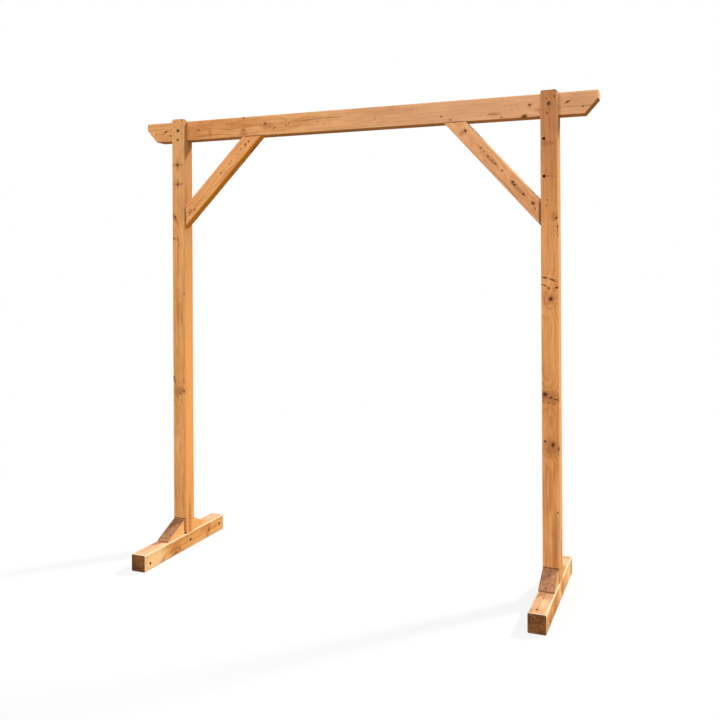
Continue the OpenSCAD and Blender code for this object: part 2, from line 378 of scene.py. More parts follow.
# %% Rings
rings = {
    "crossbeam": on_face(BEAM_FACE, (
        (-820, 11, 30, 9, 24), (-632, 10, 20, 7, -12), (-187, -5, 26, 7, 8), (-81, 13, 28, 7, 5),
        (150, -12, 22, 8, -15), (300, 16, 18, 7, 12), (700, -14, 30, 8, 4), (790, 2, 26, 7, -20),
        (859, 4, 15, 13, 20), (1084, 15, 12, 6, 0), (-1000, 8, 18, 6, 20))),
    "left_post": on_face(POST_FACE, (
        (2128, 0, 26, 24, 0), (1377, 26, 17, 6, 0), (811, 2, 24, 33, 0), (690, 14, 46, 6, 8),
        (625, 21, 24, 5, 37), (1307, 12, 20, 6, 0))),
    "right_post": on_face(POST_FACE, (
        (1660, -20, 13, 12, 0), (1591, -16, 9, 8, 0), (1306, -3, 44, 27, 0), (700, -12, 8, 14, 0),
        (880, 0, 30, 33, 0), (650, 8, 16, 12, 0), (655, -24, 30, 14, 0))),
    "left_brace": on_face(BRACE_FACE, ((135, -2, 46, 8, 0), (-225, -8, 30, 14, 0))),
    "right_brace": on_face(BRACE_FACE, ((-234, -7, 10, 6, 0), (-70, 5, 50, 9, 0), (130, 4, 40, 12, 0))),
}
count("rings", rings)

# %% Stains and painted shade, painted shadows, pale patches and painted highlights
stains_and_shade = {
    "crossbeam": on_face(BEAM_FACE, (
        (-769, -18, 9, 22, 10), (-576, -30, 20, 16, 0), (700, -25, 30, 7, 0), (-440, -4, 40, 16, 0),
        (940, -20, 60, 12, 0))) + [(1070, 0, 87, 110, 60, 0)],
    # On the left post, the smear low on the front beside the wedge, the one low on the right face and the
    # one at 1765 mm beside the brace are painted shade.
    "left_post": on_face(POST_FACE, (
        (1974, 4, 10, 36, 0), (1974, 2, 34, 12, 0), (1875, -2, 8, 34, 0), (1878, 2, 30, 9, 0),
        (1795, 3, 40, 4, 0), (1490, 4, 90, 4, 0), (1214, 6, 70, 4, 0), (811, 0, 20, 36, 0),
        (1700, 22, 40, 12, 30), (110, -34, 60, 7, 0))) + [
        (140, -POST_FACE, 4, 130, 14, 0), (1765, -POST_FACE, 24, 100, 12, 0)],
    # On the right post, the mark at 2050 mm on the right face, under the beam, is painted shade.
    "right_post": on_face(POST_FACE, (
        (1978, 10, 12, 26, 0), (1979, -14, 9, 14, 0), (1837, 0, 4, 24, 0), (1845, 14, 24, 5, 0),
        (1662, -22, 20, 16, 0), (1306, -4, 26, 18, 0), (880, 0, 30, 36, 0), (660, -5, 36, 34, 0),
        (555, -15, 50, 4, 0), (250, -16, 130, 12, 0))) + [
        (160, -POST_FACE, 0, 170, 24, 0), (2050, -POST_FACE, 0, 50, 40, 0)],
    "right_brace": on_face(BRACE_FACE, ((-40, 3, 50, 9, 0), (140, 2, 50, 9, 0), (-225, -10, 12, 14, 0))),
    "left_foot": [(200, -8, FOOT_SIDE, 40, 16, 60), (-100, -12, FOOT_SIDE, 46, 34, 20),
                  (-90, -36, FOOT_SIDE, 60, 16, 0), (-215, -34, FOOT_SIDE, 40, 12, 35),
                  (-320, -26, -10, 40, 30, 0)],
    "right_foot": [(-155, 0, FOOT_SIDE, 34, 50, 10), (-115, 0, FOOT_SIDE, 44, 50, 10),
                   (-255, -16, FOOT_SIDE, 44, 26, 0),
                   (69, 0, FOOT_SIDE, 26, 50, 10), (340, 0, FOOT_SIDE, 26, 60, 0),
                   (-328, FOOT_TOP, -32, 26, 14, 0), (-262, FOOT_TOP, -7, 50, 3, 0),
                   (-160, FOOT_TOP, -3, 40, 3, 0)],
}
# Painted shadows: three marks on each foot top draw a shadow in front of its wedge.
painted_wedge_shadow = {
    "left_foot": [(-150, FOOT_TOP, -4, 20, 42, 0), (-172, FOOT_TOP, -22, 34, 26, 0),
                  (-196, FOOT_TOP, -34, 36, 12, 0)],
    "right_foot": [(-119, FOOT_TOP, -4, 20, 42, 0), (-141, FOOT_TOP, -22, 34, 26, 0),
                   (-165, FOOT_TOP, -34, 36, 12, 0)],
}
pale_and_highlit = {
    "left_foot": [(-275, -6, FOOT_SIDE, 95, 60, 0), (-345, FOOT_TOP, 0, 26, 40, 0),
                  (-190, FOOT_TOP, 20, 40, 16, 20), (290, FOOT_TOP, 0, 60, 20, 0)],
    "right_foot": [(-310, 36, FOOT_SIDE, 80, 14, 0), (-8, 10, FOOT_SIDE, 20, 50, 15),
                   (245, 0, FOOT_SIDE, 44, 50, 0), (-250, FOOT_TOP, 10, 50, 20, 0),
                   (230, FOOT_TOP, 0, 200, 60, 0)],
    # On the front wedges, the pale line along each sloping edge is a painted highlight.
    "left_front_wedge": [(0, 0, 33, 66, 4, 26)],
    "right_front_wedge": [(0, 0, 35, 50, 4, 26)],
}
for title, lists in (("stains_and_shade", stains_and_shade), ("damp patches", painted_wedge_shadow), ("pale patches", pale_and_highlit)):
    count(title, lists)

# %% Bores
# Where the bolts come out along the beam, up a post and along a foot, where the peg holes are,
# and how far the painted shade in and round a hole reaches from its middle
BOLT_ALONG, BOLT_HEIGHT, BOLT_REACH = 945, 2150, 32
PEG_ACROSS, PEG_HEIGHTS = 22, (2000, 1837)
FOOT_PEGS = ((-310, -10), (310, 4))
PEG_RIM, BOLT_RIM = 6.5, 8.2


def shaded_bore(along, across, out, rim):
    """A round mark of painted shade in and round a hole."""
    return (along, across, out, rim, rim, 0)


shaded_bores = {name: [shaded_bore(BOLT_HEIGHT, 0, POST_FACE, BOLT_RIM)] for name in POSTS}
shaded_bores["crossbeam"] = [shaded_bore(along, 0, -BEAM_FACE, BOLT_RIM) for along in (-BOLT_ALONG, BOLT_ALONG)]
shaded_bores["right_post"] += [shaded_bore(height, PEG_ACROSS, POST_FACE, PEG_RIM) for height in PEG_HEIGHTS]
for name, inner in (("left_foot", FOOT_SIDE), ("right_foot", -FOOT_SIDE)):
    shaded_bores[name] = [shaded_bore(BOLT_REACH, 0, out, BOLT_RIM) for out in (FOOT_SIDE, -FOOT_SIDE)]
    shaded_bores[name] += [shaded_bore(along, across, inner, PEG_RIM) for along, across in FOOT_PEGS]
count("shaded_bores", shaded_bores)

# %% [markdown]
# ## Painted shade at the joints
# Where two timbers meet, the crease is drawn as a dark line, which is painted shade. A thin mark
# draws it. The ends of a brace are cut to the upright and to the level, so a mark there runs upright
# or level in the world, and the brace's own frame says how far that leans.

# %% Joints
# Half the width of the line at a brace's end, how far it moves into the brace, and how much
# longer than the end it is
JOINT, JOINT_SHIFT, JOINT_STRETCH = 5.5, 3.5, 1.3
# The line along a wedge is drawn with three short marks: half their length and half their width
DASH = (4, 16)
joint_shade = {
    "left_post": [(157, across, POST_FACE, *DASH, 0) for across in (-20, 4, 28)],
    "right_post": [(142, across, POST_FACE, *DASH, 0) for across in (-20, 4, 28)],
    "left_foot": [(-151, FOOT_TOP, out, *DASH, 0) for out in (-26, -3, 18)],
    "right_foot": [(-120, FOOT_TOP, out, *DASH, 0) for out in (-25, -2, 21)],
}
for name, slant in LEAN.items():
    centre, turn, _ = grain_frames[name]
    to_local = turn.to_matrix().transposed()
    low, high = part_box(name)
    outer, inner = (low[0], high[0]) if name == "left_brace" else (high[0], low[0])
    tall = BRACE_WIDTH * MM / math.cos(slant)
    wide = BRACE_WIDTH * MM / abs(math.sin(slant))
    inwards = math.copysign(1, inner - outer)
    at_post = Vector((outer + inwards * JOINT_SHIFT * MM, low[1], low[2] + tall / 2))
    at_beam = Vector((inner - inwards * wide / 2, low[1], high[2]))
    joint_shade[name] = []
    for point, along, half in ((at_post, (0, 0, 1), tall / 2), (at_beam, (1, 0, 0), wide / 2)):
        spot = to_local @ (point - centre) / MM
        runs = to_local @ Vector(along)
        lean = math.degrees(math.atan2(runs.y, runs.x))
        joint_shade[name].append((*spot, half / MM * JOINT_STRETCH, JOINT, lean))
    print(name, "joints at", [[round(c) for c in mark[:3]] for mark in joint_shade[name]])

# %% [markdown]
# ## Stained softwood
# The timbers are planed spruce or pine under a thin honey-coloured stain. What the eye gets:
# - growth rings: pale early wood that darkens slowly to late wood and then stops at a sharp edge.
#   They are cylinders round the pith, so a flat-sawn face cuts them into long arches.
# - streaks, where the stain sank in more deeply along the fibres, and broad clouds of tone.
# - end grain, which drinks the stain and goes brown, on every cut across the fibres.
# - arrises that sandpaper and hands have rubbed paler, which also serve as painted highlights, and
#   level tops drawn paler as a painted sheen.
#
# Rings and fibres are 1 to 3 mm apart in such wood. Here they are drawn about twice as coarse,
# so that they still show on an arch that is two metres tall. The next cells draw one part each,
# and the last of them lays the parts over each other.

# %% Distance from a mark
def mark_distance(tree, grain, spots):
    """How far a point is from the nearest mark of a list, where 1 is that mark's own edge."""
    nearest = None
    for along, across, out, length, width, lean in spots:
        shape = add(tree, "Mapping", {"Vector": grain, "Location": (along, across, out),
                                      "Rotation": (0, 0, math.radians(lean)),
                                      "Scale": (length, width, width)}, vector_type="TEXTURE")
        far = add(tree, "VectorMath", (shape,), operation="LENGTH")
        nearest = add(tree, "Math", (nearest, far), operation="MINIMUM") if nearest else far
    return nearest


def patched(tree, grain, skin, spots, tint, most, full=0.3, none=1.5):
    """A skin with patches of a tint, which is this strong at most. It is full and it is gone at
    these shares of a mark's own size."""
    patch = mark_distance(tree, grain, spots)
    if not patch:
        return skin
    patch = add(tree, "MapRange", {"Value": patch, "From Min": full, "From Max": none,
                                   "To Min": most, "To Max": 0.0}, interpolation_type="SMOOTHSTEP")
    return add(tree, "Mix", {"Factor": patch, "A": skin, "B": linear(tint)}, data_type="RGBA")


# %% [markdown]
# ## Crooked grain
# No trunk grows straight. Each pattern could be bent by itself, but then they would drift apart.
# So the points are moved before anything is drawn: broad clouds of noise bend the rings and the
# fibres together, and a fine noise frays the outlines of knots and stains.

# %% Crooked grain
def drawn_out(tree, grain, length, thick, detail, roughness=0.5, start=(0, 0, 0)):
    """A noise drawn out along the grain, with lumps about this long and thick."""
    stretched = add(tree, "Mapping", {"Vector": grain, "Location": start,
                                      "Scale": (1 / length, 1 / thick, 1 / thick)})
    return add(tree, "TexNoise", {"Vector": stretched, "Scale": 1.0, "Detail": detail,
                                  "Roughness": roughness})


def moved(tree, grain, noise, reach):
    """The grain with its points moved by the colours of a noise, by up to half this reach."""
    shift = add(tree, "VectorMath", (noise["Color"], (0.5, 0.5, 0.5)), operation="SUBTRACT")
    shift = add(tree, "VectorMath", (shift, reach), operation="MULTIPLY")
    return add(tree, "VectorMath", (grain, shift), operation="ADD")


# %% [markdown]
# ## Scattered knots
# The listed knots are on the faces that show most. The others would look too clean without any,
# and listing more would be long, so a Voronoi texture scatters some. Each of its cells has one
# point somewhere inside, and only a point close to a face shows there, as a branch does. Near the
# faces that have a list, a big number pushes the scattered ones out of reach.

# %% Nearest knot
# Length and width of a cell in millimetres, and the size of a knot in cells
CELL_LENGTH, CELL_WIDTH, KNOT_SIZE = 150, 62, 0.13
# From how deep to how shallow under a face with a list the scattered ones go out of reach
DEEP, SHALLOW, OUT_OF_REACH = 14, 8, 20.0


def nearest_knot(tree, name, seed, clear, sides, frayed):
    """How far the nearest listed or scattered knot is. Clear is the side with no scattered ones."""
    _, half_across, half_out = grain_frames[name][2]
    cells = add(tree, "Mapping", {"Vector": frayed, "Location": (seed, seed, 0),
                                  "Scale": (1 / CELL_LENGTH, 1 / CELL_WIDTH, 1 / CELL_WIDTH)})
    strewn = add(tree, "TexVoronoi", {"Vector": cells, "Scale": 1.0, "Randomness": 1.0})
    dark = add(tree, "Math", (strewn, KNOT_SIZE), operation="DIVIDE")
    clear_side = add(tree, "Math", (sides["Y"], clear), operation="MULTIPLY")
    for value, half in ((sides["Z"], half_out), (clear_side, half_across)):
        facing = add(tree, "MapRange", {"Value": value, "From Min": half - DEEP,
                                        "From Max": half - SHALLOW, "To Max": OUT_OF_REACH})
        dark = add(tree, "Math", (dark, facing), operation="ADD")
    listed = mark_distance(tree, frayed, knots.get(name, ()))
    return add(tree, "Math", (dark, listed), operation="MINIMUM") if listed else dark


# %% [markdown]
# ## Growth rings
# A Wave texture has rings too, but they would not make way for a knot. Here the distance from the
# pith, which swells round a knot, is divided by the ring width, and what is left after the whole
# years is the season. A power makes the wood darken slowly, and a ramp ends the year at once.

# %% Growth rings
SLOWNESS, ENDLESS = 2.2, 1e6


def late_wood(tree, bent, near_knot, pith, ring):
    """How late in its year the wood grew, from pale early wood at 0 to dark late wood at 1."""
    swell = add(tree, "MapRange", {"Value": near_knot, "From Min": 0.0, "From Max": 3.2, "To Min": 13.0,
                                   "To Max": 0.0}, interpolation_type="SMOOTHSTEP")
    pith_across, pith_out, drift = pith
    # The endless scale along the grain leaves only the distance from the pith.
    round_pith = add(tree, "Mapping", {"Vector": bent, "Location": (0, pith_across, pith_out),
                                       "Rotation": (0, 0, math.atan(drift / 1000)),
                                       "Scale": (ENDLESS, 1, 1)}, vector_type="TEXTURE")
    radius = add(tree, "VectorMath", (round_pith,), operation="LENGTH")
    radius = add(tree, "Math", (radius, swell), operation="ADD")
    year = add(tree, "Math", (radius, ring), operation="DIVIDE")
    season = add(tree, "Math", (year,), operation="FRACT")
    darkening = add(tree, "Math", (season, SLOWNESS), operation="POWER")
    edge = add(tree, "MapRange", {"Value": season, "From Min": 0.9, "From Max": 1.0, "To Min": 1.0,
                                  "To Max": 0.0})
    return add(tree, "Math", (darkening, edge), operation="MULTIPLY")


# %% [markdown]
# ## Stain
# A stain is thin, so the wood under it decides its tone: late wood, streaks, clouds and fibres
# all add to one depth, and that depth mixes two colours. Four mixes of four colours would do as
# well, but one depth keeps the wood in one family of colours. Some lengths took up more stain.
# The right face of a post gets colours of its own, which are painted light, and high on the left
# post painted shade.

# %% Stain
RING_DEPTH, STREAK_DEPTH = 0.42, 0.36
# Up to which depth in millimetres the painted light on a post's right face is full, where it ends, and its
# share
SIDE_LIGHT_FULL, SIDE_LIGHT_END, SIDE_LIGHT_SHARE = 1.5, 6, 0.65


def stained(tree, colours, season, streaks, fibres, clouds, patchy):
    """The stained wood, and the depth of its tone."""
    streaked = add(tree, "MapRange", {"Value": streaks, "From Min": 0.36, "From Max": 0.66})
    cloudy = add(tree, "MapRange", {"Value": clouds[0], "From Min": 0.38, "From Max": 0.66})
    depth = add(tree, "Math", (season, RING_DEPTH), operation="MULTIPLY")
    depth = add(tree, "Math", (streaked, STREAK_DEPTH, depth), operation="MULTIPLY_ADD")
    depth = add(tree, "Math", (cloudy, patchy, depth), operation="MULTIPLY_ADD")
    fleck = add(tree, "MapRange", {"Value": fibres, "From Min": 0.3, "From Max": 0.7, "To Min": -0.1,
                                   "To Max": 0.14})
    depth = add(tree, "Math", (depth, fleck), operation="ADD", use_clamp=True)
    early, late = (linear(code) for code in colours)
    skin = add(tree, "Mix", {"Factor": depth, "A": early, "B": late}, data_type="RGBA")
    return skin, depth


def stained_along(tree, skin, sides, stain):
    """A skin that takes on another colour from one place along the timber to another."""
    start, end, most, tint = stain
    taken = add(tree, "MapRange", {"Value": sides["X"], "From Min": start, "From Max": end,
                                   "To Max": most}, interpolation_type="SMOOTHSTEP")
    return add(tree, "Mix", {"Factor": taken, "A": skin, "B": linear(tint)}, data_type="RGBA")


def with_painted_side_light(tree, skin, sides, half_across, side_light):
    """A skin with painted light on its right face, whose colour changes up the post, to painted shade high
    on the left post.
    """
    low, high = side_light
    height = add(tree, "MapRange", {"Value": sides["X"], "From Min": 1000.0, "From Max": 1700.0})
    side_tone = add(tree, "Mix", {"Factor": height, "A": linear(low), "B": linear(high)}, data_type="RGBA")
    near = add(tree, "MapRange", {"Value": sides["Y"], "From Min": SIDE_LIGHT_FULL - half_across,
                                  "From Max": SIDE_LIGHT_END - half_across, "To Min": SIDE_LIGHT_SHARE,
                                  "To Max": 0.0})
    return add(tree, "Mix", {"Factor": near, "A": skin, "B": side_tone}, data_type="RGBA")


# %% [markdown]
# ## Weather, wear and painted light
# Sun and rain open hair cracks, the level tops are drawn paler as a painted sheen, and water leaves
# stains over both, some of which are painted shade. They could be laid on as images, but a noise and
# the way a face looks put them where they belong. Hands and sandpaper rub the arrises, and their
# paler colour is also a painted highlight: near an arris two of the three distances from the faces
# are small, so the middle one of the three tells how near it is.

# %% Weather, wear and painted light
def weathered_and_painted_light(tree, name, skin, bent, frayed, level_up, seed):
    """A skin with pale patches and painted highlights, hair cracks, a painted sheen on the level tops,
    stains and painted shade, and painted shadows in front of the wedges.
    """
    # Pale patches, and pale lines on the front wedges that are painted highlights.
    skin = patched(tree, frayed, skin, pale_and_highlit.get(name, ()), "F4CC98", 0.85)
    # Only the thinnest crests of a very long noise are cracks.
    cracks = drawn_out(tree, bent, 420, 7, 1.0, start=(0, seed, 0))
    cracks = add(tree, "MapRange", {"Value": cracks, "From Min": 0.70, "From Max": 0.76, "To Max": 0.6})
    skin = add(tree, "Mix", {"Factor": cracks, "A": skin, "B": linear("7A4A2A")}, data_type="RGBA")
    # The level tops are drawn paler: a painted sheen.
    painted_top_sheen = add(tree, "MapRange", {"Value": level_up, "From Min": 0.92, "From Max": 0.99, "To Max": 0.5})
    skin = add(tree, "Mix", {"Factor": painted_top_sheen, "A": skin, "B": linear("C49C80")}, data_type="RGBA")
    # Stains, some of which are painted shade.
    skin = patched(tree, frayed, skin, stains_and_shade.get(name, ()), "A0603A", 0.55)
    # Painted shadows on the feet in front of the wedges.
    return patched(tree, frayed, skin, painted_wedge_shadow.get(name, ()), "8C5632", 0.62, 0.75, 1.15)


def rubbed_and_highlit(tree, skin, sides, half, ragged, rub_and_highlight):
    """A skin whose arrises are rubbed this pale, partly wear and partly a painted highlight, more in some
    places than in others.
    """
    gaps = []
    for axis, reach in zip("XYZ", half):
        off = add(tree, "Math", (sides[axis],), operation="ABSOLUTE")
        gaps.append(add(tree, "Math", (reach, off), operation="SUBTRACT"))
    least = add(tree, "Math", (gaps[1], gaps[2]), operation="MINIMUM")
    most = add(tree, "Math", (gaps[1], gaps[2]), operation="MAXIMUM")
    corner = add(tree, "Math", (most, gaps[0]), operation="MINIMUM")
    corner = add(tree, "Math", (corner, least), operation="MAXIMUM")
    uneven_rub = add(tree, "MapRange", {"Value": ragged[0], "From Min": 0.3, "From Max": 0.6, "To Min": 0.6})
    paler = add(tree, "MapRange", {"Value": corner, "From Min": 3.0, "From Max": 7.5, "To Min": rub_and_highlight,
                                   "To Max": 0.0})
    paler = add(tree, "Math", (paler, uneven_rub), operation="MULTIPLY")
    # Paler arrises: wear and a painted highlight.
    return add(tree, "Mix", {"Factor": paler, "A": skin, "B": linear("E8D0B0")}, data_type="RGBA")


# %% [markdown]
# ## Painted shade underneath, and end grain
# Undersides get a deep gold mixed in, which is painted shade. End grain is where the surface looks
# along the fibres. A second material could go on the cut faces, but the slopes of the wedges are
# cut half across the fibres, and one dot product serves both. The saw leaves kerf marks there, and
# a cut that looks down is drawn browner, which is painted shade too.

# %% Painted shade underneath, and end grain
KERF_DEPTH = 0.16


def with_painted_underside_shade(tree, skin, painted_shade_below, underside_shade):
    """A skin whose undersides have this gold, to this share: painted shade."""
    tint, share = underside_shade
    gold = add(tree, "Math", (painted_shade_below, share), operation="MULTIPLY")
    return add(tree, "Mix", {"Factor": gold, "A": skin, "B": linear(tint)}, data_type="RGBA")


def cut_across(tree, normal, turn, cut_from, cut_to):
    """How far a face is end grain. It comes in between these two slants to the fibres."""
    slant = add(tree, "VectorMath", (normal, turn.to_matrix().col[0]), operation="DOT_PRODUCT")
    slant = add(tree, "Math", (slant,), operation="ABSOLUTE")
    return add(tree, "MapRange", {"Value": slant, "From Min": cut_from, "From Max": cut_to, "To Max": 0.9})


def with_end_grain(tree, skin, cut, kerfs, depth, painted_shade_below, ends):
    """A skin with end grain between these two colours, darker where the stain is deep, and browner with
    painted shade where it looks down.
    """
    pale_end, deep_end = ends
    deep = add(tree, "MapRange", {"Value": depth, "From Min": 0.1, "From Max": 0.75})
    deep = add(tree, "Math", (kerfs, KERF_DEPTH, deep), operation="MULTIPLY_ADD", use_clamp=True)
    brown = add(tree, "Mix", {"Factor": deep, "A": linear(pale_end), "B": linear(deep_end)},
                data_type="RGBA")
    # A cut that looks down is drawn browner: painted shade.
    brown = add(tree, "Mix", {"Factor": painted_shade_below, "A": brown, "B": linear("B06A2D")}, data_type="RGBA")
    return add(tree, "Mix", {"Factor": cut, "A": skin, "B": brown}, data_type="RGBA")


# %% [markdown]
# ## Marks over the stain
# Rings are thin, broken outlines where the grain goes round a branch that doesn't come through. A
# knot has a reddish halo and a dark heart. Joints are dark lines, and bored holes are dark inside
# and round their rims: both painted shade. These lie over the rest, because the stain hides none.

# %% Marks over the stain
def with_knots(tree, skin, dark, faint, ragged):
    """A skin with the outlines of its rings, if it has any, and its knots."""
    if faint:
        rim = add(tree, "Math", (faint, 1.0), operation="SUBTRACT")
        rim = add(tree, "Math", (rim,), operation="ABSOLUTE")
        rim = add(tree, "MapRange", {"Value": rim, "From Max": 0.2, "To Min": 0.6, "To Max": 0.0})
        broken = add(tree, "MapRange", {"Value": ragged[0], "From Min": 0.45, "From Max": 0.62})
        rim = add(tree, "Math", (rim, broken), operation="MULTIPLY")
        skin = add(tree, "Mix", {"Factor": rim, "A": skin, "B": linear("7C4A2C")}, data_type="RGBA")
    for near, far, most, tint in ((0.7, 1.8, 0.45, "9C6044"), (0.5, 0.95, 0.88, "4A2A18")):
        spot = add(tree, "MapRange", {"Value": dark, "From Min": near, "From Max": far, "To Min": most,
                                      "To Max": 0.0}, interpolation_type="SMOOTHSTEP")
        skin = add(tree, "Mix", {"Factor": spot, "A": skin, "B": linear(tint)}, data_type="RGBA")
    return skin


def with_painted_crease_shade(tree, name, skin, grain):
    """A skin with painted shade: the dark lines of its joints and the dark insides of its bores."""
    skin = patched(tree, grain, skin, joint_shade.get(name, ()), "4E2C16", 0.8)
    hole = mark_distance(tree, grain, shaded_bores.get(name, ()))
    if not hole:
        return skin
    hole = add(tree, "MapRange", {"Value": hole, "From Min": 0.9, "From Max": 1.15, "To Min": 1.0,
                                  "To Max": 0.0})
    return add(tree, "Mix", {"Factor": hole, "A": skin, "B": linear("1E120A")}, data_type="RGBA")


# %% [markdown]
# ## The finish
# The streaks of hard wood stand a little proud, with fibres between them and the kerfs of the saw
# on the cuts. Real relief would need millions of faces, so a bump does it. The knots stay out of
# the bump, because it works its whole input out three times. Stained wood is matt: wood's own IOR
# is about 1.5, but its rough fibres scatter most of the shine, so the specular level is low.

# %% Softwood
STREAK_RELIEF, KERF_RELIEF = 0.8, 0.8


def softwood(name, colours, pith, ring, seed, ends=("8A5734", "53331E"), cut_from=0.3, cut_to=0.85,
             rough=0.66, stain=None, patchy=0.28, rub_and_highlight=0.2, clear=0, side_light=None, underside_shade=("B07818", 0.5)):
    """Stained softwood for one timber. Pith gives its place across and out, and how far it drifts
    in 1000 mm. Ring is the ring width, ends are the colours of its end grain, which comes in
    between the two slants of cut, and stain is where along the timber it took up how much of what
    colour. Patchy is how strongly the tone drifts, and clear the side with no strewn knots. Three
    more arguments give how pale the arrises are, by wear and a painted highlight, the two colours
    of painted light on a post's right face, and the gold of painted shade on the undersides with
    its share."""
    centre, turn, half = grain_frames[name]
    wood = bpy.data.materials.new("stained_softwood_" + name)
    tree = new_tree(wood)
    coords = add(tree, "TexCoord").node.outputs
    normal = coords["Normal"]
    grain = add(tree, "Mapping", {"Vector": coords["Object"], "Location": centre, "Rotation": turn,
                                  "Scale": (MM, MM, MM)}, vector_type="TEXTURE")
    sides = add(tree, "SeparateXYZ", (grain,)).node.outputs
    clouds = drawn_out(tree, grain, 330, 70, 2.0, start=(seed, 0, 0)).node.outputs
    bent = moved(tree, grain, clouds, (0, 26, 26))
    ragged = add(tree, "TexNoise", {"Vector": grain, "Scale": 1 / 9, "Detail": 1.0}).node.outputs
    frayed = moved(tree, grain, ragged, (7, 5, 5))
    wavy = moved(tree, grain, ragged, (4.9, 3.5, 3.5))

    dark = nearest_knot(tree, name, seed, clear, sides, frayed)
    faint = mark_distance(tree, wavy, rings.get(name, ()))
    any_knot = add(tree, "Math", (dark, faint), operation="MINIMUM") if faint else dark
    season = late_wood(tree, bent, any_knot, pith, ring)
    streaks = drawn_out(tree, bent, 300, 10, 3.0, 0.6, start=(seed * 3, 0, 0))
    fibres = drawn_out(tree, bent, 45, 2.4, 2.0, 0.6)
    level_up = add(tree, "SeparateXYZ", (normal,)).node.outputs["Z"]
    # Faces that look down, for painted shade.
    painted_shade_below = add(tree, "MapRange", {"Value": level_up, "From Min": -0.65, "From Max": -0.3, "To Min": 1.0,
                                   "To Max": 0.0})
    cut = cut_across(tree, normal, turn, cut_from, cut_to)
    kerfs = add(tree, "TexWave", {"Vector": grain, "Scale": 0.052, "Distortion": 2.5, "Detail": 1.0,
                                  "Detail Scale": 0.4}, bands_direction="DIAGONAL")

    skin, depth = stained(tree, colours, season, streaks, fibres, clouds, patchy)
    if stain:
        skin = stained_along(tree, skin, sides, stain)
    if side_light:
        # Painted light on the right face of a post, and painted shade high on the left post.
        skin = with_painted_side_light(tree, skin, sides, half[1], side_light)
    skin = weathered_and_painted_light(tree, name, skin, bent, frayed, level_up, seed)
    # Paler arrises, partly a painted highlight.
    skin = rubbed_and_highlit(tree, skin, sides, half, ragged, rub_and_highlight)
    # Painted shade on the undersides.
    skin = with_painted_underside_shade(tree, skin, painted_shade_below, underside_shade)
    skin = with_end_grain(tree, skin, cut, kerfs, depth, painted_shade_below, ends)
    skin = with_knots(tree, skin, dark, faint, ragged)
    # Painted shade at the joints and in the bores.
    skin = with_painted_crease_shade(tree, name, skin, grain)

    relief = add(tree, "Math", (streaks, STREAK_RELIEF, fibres), operation="MULTIPLY_ADD")
    sawn = add(tree, "Math", (kerfs, cut), operation="MULTIPLY")
    relief = add(tree, "Math", (sawn, KERF_RELIEF, relief), operation="MULTIPLY_ADD")
    bump = add(tree, "Bump", {"Height": relief, "Strength": 0.35, "Distance": 0.6 * MM})
    shine = add(tree, "MapRange", {"Value": fibres, "To Min": rough - 0.08, "To Max": rough + 0.12})
    surface = add(tree, "BsdfPrincipled", {"Base Color": skin, "Roughness": shine, "IOR": 1.5,
                                           "Specular IOR Level": 0.06, "Normal": bump})
    add(tree, "OutputMaterial", {"Surface": surface})
    return wood


# %% Timber finishes
AMBER = ("FABE7C", "D28E4A")
# The colours of early and late wood, the pith, the ring width and the seed
looks = {
    "crossbeam": (("EEB27C", "C07A44"), (18, -57.5, 30), 7.0, 11),
    "left_post": (("EEB074", "BE763A"), (8, -62, -14), 6.5, 23),
    "right_post": (("ECAA70", "BA703A"), (-6, -58, 18), 7.0, 37),
    "left_brace": (("F2B27A", "C87C44"), (-4, -60, 20), 5.5, 41),
    "right_brace": (("F2B88C", "C68458"), (6, -52, -24), 6.0, 53),
    "left_foot": (("F6C082", "CA8646"), (30, -66, 40), 7.5, 61),
    "right_foot": (("F2B676", "BC7A40"), (-66, -20, 50), 8.0, 71),
    "left_front_wedge": (AMBER, (-10, -70, 30), 6.0, 83),
    "left_rear_wedge": (AMBER, (20, -60, -30), 6.0, 89),
    "right_front_wedge": (AMBER, (-20, -64, 30), 6.0, 97),
    "right_rear_wedge": (AMBER, (14, -58, -20), 6.0, 101),
}
# Where a timber differs from the plain softwood
# Here the gold of the undersides is painted shade, the colours on a post's right face are painted light
# and high on the left post painted shade, and the crossbeam's pale end grain is partly its own colour and
# partly painted sunlight on its ends.
extras = {
    "crossbeam": dict(ends=("F6D2B0", "DCAE8A"), patchy=0.42, stain=(-600, 500, 0.45, "E6B89C"),
                      rub_and_highlight=0.35, underside_shade=("9B5100", 0.6)),
    "left_brace": dict(underside_shade=("E99500", 0.6)),
    "right_brace": dict(underside_shade=("E99500", 0.6)),
    "left_post": dict(stain=(1500, 2100, 0.3, "D2A482"), rub_and_highlight=0.3, clear=-1, side_light=("F0A45C", "C08A54")),
    "right_post": dict(stain=(1450, 2150, 0.6, "A46C50"), rub_and_highlight=0.15, clear=-1, side_light=("F4B070", "EEB47C")),
    "left_foot": dict(ends=("925426", "3E200E"), patchy=0.45, rub_and_highlight=1.0, clear=1),
    "right_foot": dict(ends=("A0683C", "4E2E1A"), patchy=0.5, rub_and_highlight=1.0, clear=1),
}
for name in WEDGES:
    # The right front wedge's end grain is drawn lighter than the others': painted light.
    ends = ("BE8C6C", "8C6049") if name == "right_front_wedge" else ("B48260", "7B513C")
    extras[name] = dict(ends=ends, cut_from=0.2, cut_to=0.4, rough=0.74, patchy=0.4)
for name, (colours, pith, ring, seed) in looks.items():
    wood = softwood(name, colours, pith, ring, seed, **extras.get(name, {}))
    pieces[name].data.materials.append(wood)
    print(wood.name, len(wood.node_tree.nodes), "nodes")

# %% [markdown]
# ## Screws
# A small countersunk wood screw sits low in the inner face of each post. It is a turned part, so
# its profile is spun round its axis, from the tip up to the rim of the recess. A primitive cone
# would do for the head, but not for the recess, which is a star for a driver bit: the rim is
# extruded inwards, a cosine with six waves shapes it into a star, and the outline goes down and is
# closed.

# %% Screws
SCREW_STEPS = 24
